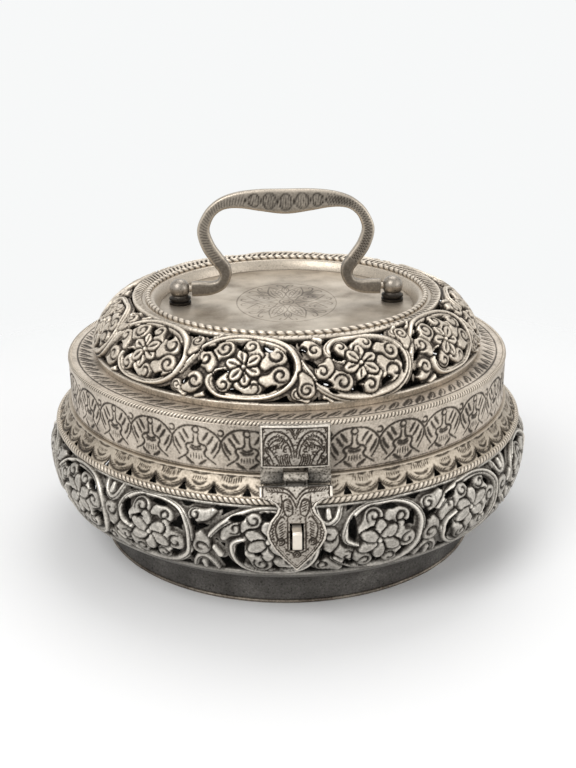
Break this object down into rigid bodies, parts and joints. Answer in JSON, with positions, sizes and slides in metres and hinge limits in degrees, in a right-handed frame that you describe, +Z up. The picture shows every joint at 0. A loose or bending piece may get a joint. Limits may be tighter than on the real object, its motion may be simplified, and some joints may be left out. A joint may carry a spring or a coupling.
{
  "type": "lidded box",
  "caption": "Round pierced silver box with a bulging body on a flared foot, a hinged lid with a raised openwork gallery, a folding bail handle and a front hasp.",
  "frame": {"origin": "on the box's upright axis at the level of the table that the foot wire stands on, which is 1.6 mm under the base plate", "axes": "+Z up, the hasp faces -Y, and the lid's hinge and the bail lie along X"},
  "size_m": [0.2295, 0.2377, 0.1627],
  "materials": {
    "chased_silver": "aged silver, bright on the relief and dark in the hollows",
    "engraved_silver": "aged silver with dark engraved lines",
    "warm_silver": "aged silver, slightly yellow",
    "dark_silver": "dull dark silver with pits",
    "plate_silver": "smooth pale silver with faint stains",
    "plain_silver": "worn silver",
    "hinge_silver": "engraved dark silver with bright edges",
    "bail_silver": "engraved silver, worn where it is held",
    "rope_wire": "twisted silver wire, bright on the strands"
  },
  "bodies": {
    "body": {"foot_wire": "rope_wire", "foot_ring": "dark_silver", "base_plate": "dark_silver", "body_wall": "chased_silver", "body_rope_wire": "rope_wire", "shoulder_band": "warm_silver", "body_rim": "dark_silver", "staple": "plain_silver", "rear_hinge_body_leaf": "hinge_silver", "rear_hinge_pin": "plain_silver"},
    "lid": {"lid_band": "engraved_silver", "lid_ledge": "engraved_silver", "lid_rope_wire": "rope_wire", "lid_gallery": "chased_silver", "lid_well_wall": "plain_silver", "lid_inner_rope": "rope_wire", "lid_top_plate": "plate_silver", "bail_post_left": "plain_silver", "bail_post_right": "plain_silver", "bail_washer_left": "plain_silver", "bail_washer_right": "plain_silver", "hasp_hinge_plate": "hinge_silver", "hasp_pin": "plain_silver", "rear_hinge_lid_leaf": "hinge_silver"},
    "bail": {"bail_handle": "bail_silver"},
    "hasp": {"hasp_leaf": "hinge_silver"}
  },
  "joints": [
    {"name": "lid_hinge", "type": "hinge", "parent": "body", "child": "lid", "pos_m": [0, 0.1075, 0.0679], "axis": [-1, 0, 0], "range_deg": [0, 100]},
    {"name": "bail_swing", "type": "hinge", "parent": "lid", "child": "bail", "pos_m": [0, 0, 0.1161], "axis": [1, 0, 0], "range_deg": [-95, 95]},
    {"name": "hasp_swing", "type": "hinge", "parent": "lid", "child": "hasp", "pos_m": [0, -0.1075, 0.0679], "axis": [-1, 0, 0], "range_deg": [0, 150]}
  ]
}
